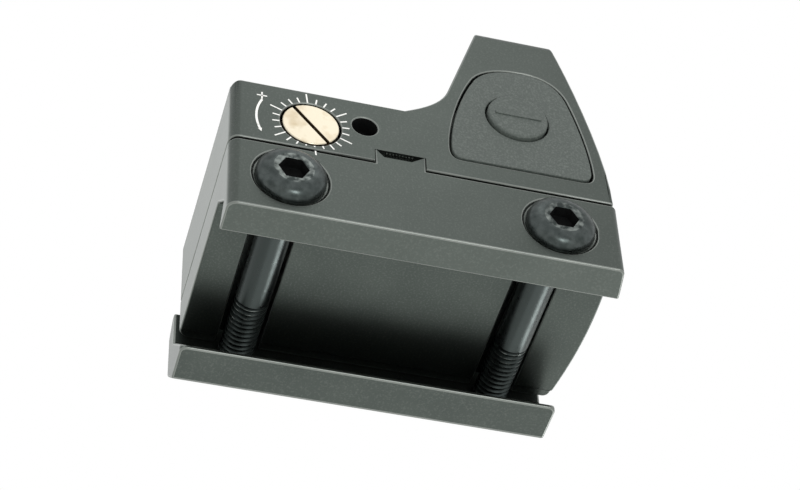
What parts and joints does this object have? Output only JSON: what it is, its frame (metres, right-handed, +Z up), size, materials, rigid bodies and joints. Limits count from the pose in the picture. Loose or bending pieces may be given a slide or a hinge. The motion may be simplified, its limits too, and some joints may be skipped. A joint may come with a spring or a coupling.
{
  "type": "open reflex finder sight",
  "caption": "Open reflex dot finder on a low cross-bolt rail clamp, with a hooded coated lens, slotted windage and elevation dials and rubber keypads on its sides.",
  "frame": {"origin": "middle of the rail seat, half way between the two cross screws", "axes": "+X to the side with the windage dial and the cross screws' heads, +Y forward to the target, +Z up from the rail"},
  "size_m": [0.0322, 0.0453, 0.0374],
  "materials": {
    "body_anodised": "matte bead-blasted black anodised",
    "screw_black_steel": "blued",
    "dial_nickel": "satin electroless nickel, pale gold",
    "slide_brass": "machined",
    "plain_steel": "satin",
    "cell_can": "satin nickel plate",
    "keypad_rubber": "fine matte",
    "seal_rubber": "matte",
    "coated_glass": "polished, reflective dot coating",
    "clear_window": "polished",
    "board_laminate": "solder mask over glass-epoxy",
    "chip_epoxy": "moulded epoxy",
    "carriage_plastic": "moulded, matte",
    "flex_polyimide": "amber film",
    "contact_brass": "gold-flashed spring brass",
    "led_resin": "clear red resin"
  },
  "bodies": {
    "sight": {"housing": "body_anodised", "mount_base": "body_anodised", "sight_screw_right": "screw_black_steel", "sight_screw_left": "screw_black_steel", "slide_frame": "plain_steel", "windage_spring": "plain_steel", "snap_dome_right": "plain_steel", "snap_dome_left": "plain_steel", "battery": "cell_can", "keypad_right": "keypad_rubber", "keypad_left": "keypad_rubber", "base_seal": "seal_rubber", "windage_o_ring": "seal_rubber", "elevation_o_ring": "seal_rubber", "lens_seal": "seal_rubber", "lens": "coated_glass", "emitter_window": "clear_window", "circuit_board": "board_laminate", "controller_chip": "chip_epoxy", "keypad_flex_right": "flex_polyimide", "keypad_flex_left": "flex_polyimide", "battery_contact_negative": "contact_brass", "battery_contact_positive": "contact_brass"},
    "windage_dial": {"windage_adjuster": "dial_nickel", "windage_clip": "plain_steel"},
    "windage_slider": {"windage_slide": "slide_brass", "carriage_spring": "plain_steel"},
    "elevation_dial": {"elevation_adjuster": "dial_nickel", "elevation_clip": "plain_steel"},
    "elevation_nut_block": {"elevation_nut": "plain_steel"},
    "emitter_carrier": {"emitter_carriage": "carriage_plastic", "led_emitter": "led_resin"},
    "right_button": {"button_right": "keypad_rubber"},
    "left_button": {"button_left": "keypad_rubber"},
    "front_cross_screw": {"cross_screw_front": "screw_black_steel"},
    "rear_cross_screw": {"cross_screw_rear": "screw_black_steel"},
    "clamp": {"clamp_bar": "body_anodised"}
  },
  "joints": [
    {"name": "windage_turn", "type": "hinge", "parent": "sight", "child": "windage_dial", "pos_m": [0.0133, -0.01278, 0.0091], "axis": [1, 0, 0], "range_deg": [-360, 360]},
    {"name": "windage_travel", "type": "slide", "parent": "sight", "child": "windage_slider", "axis": [1, 0, 0], "range_m": [-0.0005, 0.0005]},
    {"name": "elevation_turn", "type": "hinge", "parent": "sight", "child": "elevation_dial", "pos_m": [0, -0.01278, 0.0145], "axis": [0, 0, 1], "range_deg": [-360, 360]},
    {"name": "nut_travel", "type": "slide", "parent": "sight", "child": "elevation_nut_block", "axis": [0, 0, 1], "range_m": [-0.0005, 0.0005]},
    {"name": "elevation_travel", "type": "slide", "parent": "windage_slider", "child": "emitter_carrier", "axis": [0, 0, 1], "range_m": [-0.0005, 0.0005], "deforming": ["carriage_spring"]},
    {"name": "right_button_press", "type": "slide", "parent": "sight", "child": "right_button", "axis": [-1, 0, 0], "range_m": [0, 0.0003], "stiffness_N_per_m": 1000},
    {"name": "left_button_press", "type": "slide", "parent": "sight", "child": "left_button", "axis": [1, 0, 0], "range_m": [0, 0.0003], "stiffness_N_per_m": 1000},
    {"name": "front_screw_turn", "type": "hinge", "parent": "sight", "child": "front_cross_screw", "pos_m": [0.0147, 0.01502, -0.0002], "axis": [1, 0, 0], "range_deg": [-230, 1230]},
    {"name": "rear_screw_turn", "type": "hinge", "parent": "sight", "child": "rear_cross_screw", "pos_m": [0.0147, -0.01502, -0.0002], "axis": [1, 0, 0], "range_deg": [-230, 1230]},
    {"name": "clamp_travel", "type": "slide", "parent": "sight", "child": "clamp", "axis": [-1, 0, 0], "range_m": [-0.00044, 0.00239]}
  ],
  "couplings": [
    {"joint": "windage_turn", "follows": "windage_travel", "rad_per_m": -12566},
    {"joint": "elevation_turn", "follows": "elevation_travel", "rad_per_m": -12566},
    {"joint": "nut_travel", "follows": "elevation_travel", "ratio": 1},
    {"joint": "front_screw_turn", "follows": "clamp_travel", "rad_per_m": 8976},
    {"joint": "rear_screw_turn", "follows": "clamp_travel", "rad_per_m": 8976}
  ]
}
